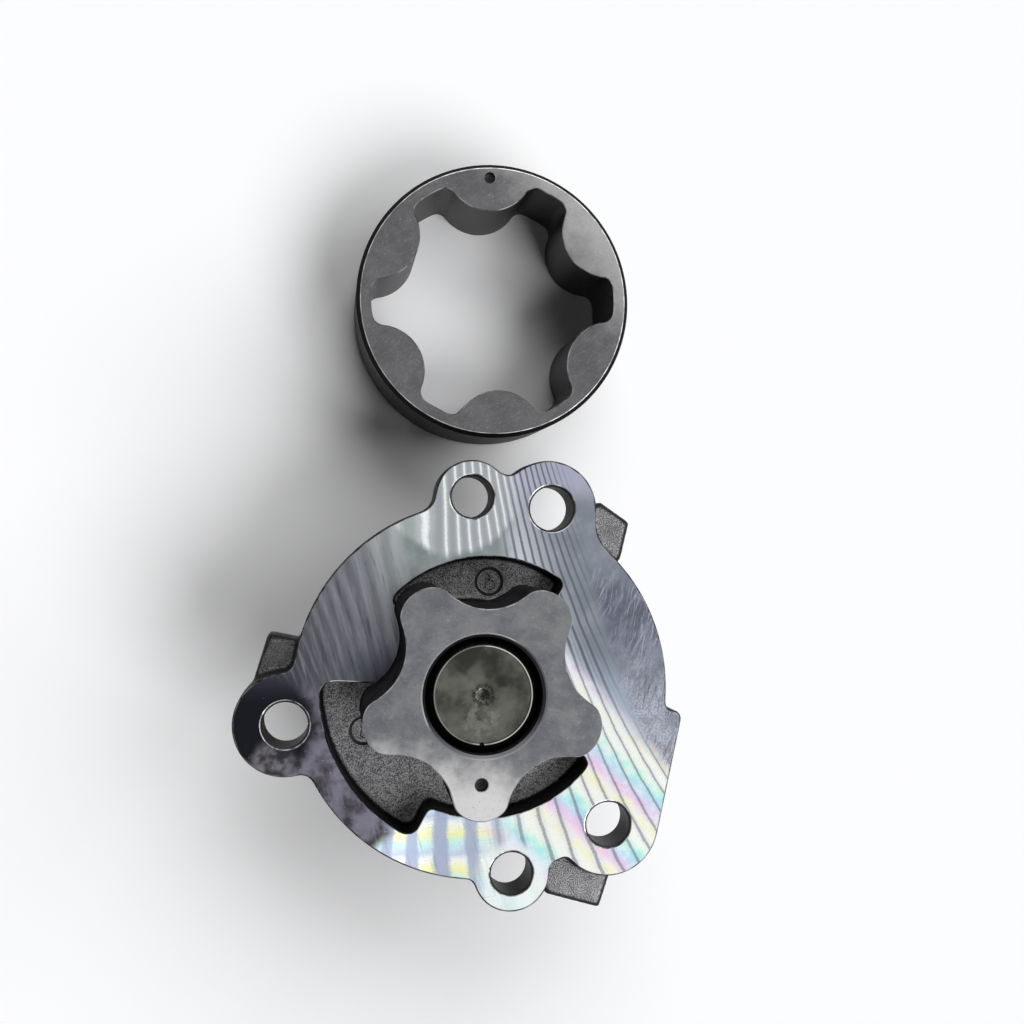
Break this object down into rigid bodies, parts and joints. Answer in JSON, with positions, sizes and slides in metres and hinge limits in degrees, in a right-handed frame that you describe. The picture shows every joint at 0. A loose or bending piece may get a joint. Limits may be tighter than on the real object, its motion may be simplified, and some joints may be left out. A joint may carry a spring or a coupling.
{
  "type": "engine oil pump",
  "caption": "Gerotor oil pump with a bolt-on iron housing, a lobed inner rotor on a geared drive shaft, and its outer rotor laid beside it.",
  "frame": {"origin": "where the drive shaft's axis crosses the housing's machined mounting face", "axes": "+Z along the shaft, out of the mounting face towards the engine; +Y towards the pair of upper bolt holes and the laid-down outer rotor; +X to the right seen from the engine"},
  "size_m": [0.0914, 0.1592, 0.0648],
  "materials": {
    "iron_casting": "sand cast, machined mounting face",
    "ground_steel": "ground, lightly oiled",
    "oiled_steel": "turned, oily",
    "gear_steel": "hobbed, dark, oily",
    "bearing_bronze": "bored",
    "plated_steel": "zinc plated"
  },
  "bodies": {
    "pump_body": {"pump_housing": "iron_casting", "front_bush": "bearing_bronze", "rear_bush": "bearing_bronze"},
    "drive_train": {"drive_shaft": "oiled_steel", "inner_rotor": "ground_steel", "thrust_washer": "bearing_bronze", "drive_gear": "gear_steel", "gear_key": "plated_steel", "tab_washer": "plated_steel", "shaft_nut": "plated_steel"},
    "outer_rotor": {"outer_rotor": "ground_steel"}
  },
  "joints": [
    {"name": "drive_spin", "type": "hinge", "parent": "pump_body", "child": "drive_train", "pos_m": [0, 0, 0], "axis": [0, 0, 1], "continuous": true},
    {"name": "outer_rotor_spin", "type": "hinge", "parent": "pump_body", "child": "outer_rotor", "pos_m": [0.0071, 0.0809, 0], "axis": [0, 0, 1], "continuous": true}
  ],
  "couplings": [
    {"joint": "outer_rotor_spin", "follows": "drive_spin", "ratio": 0.83333}
  ]
}
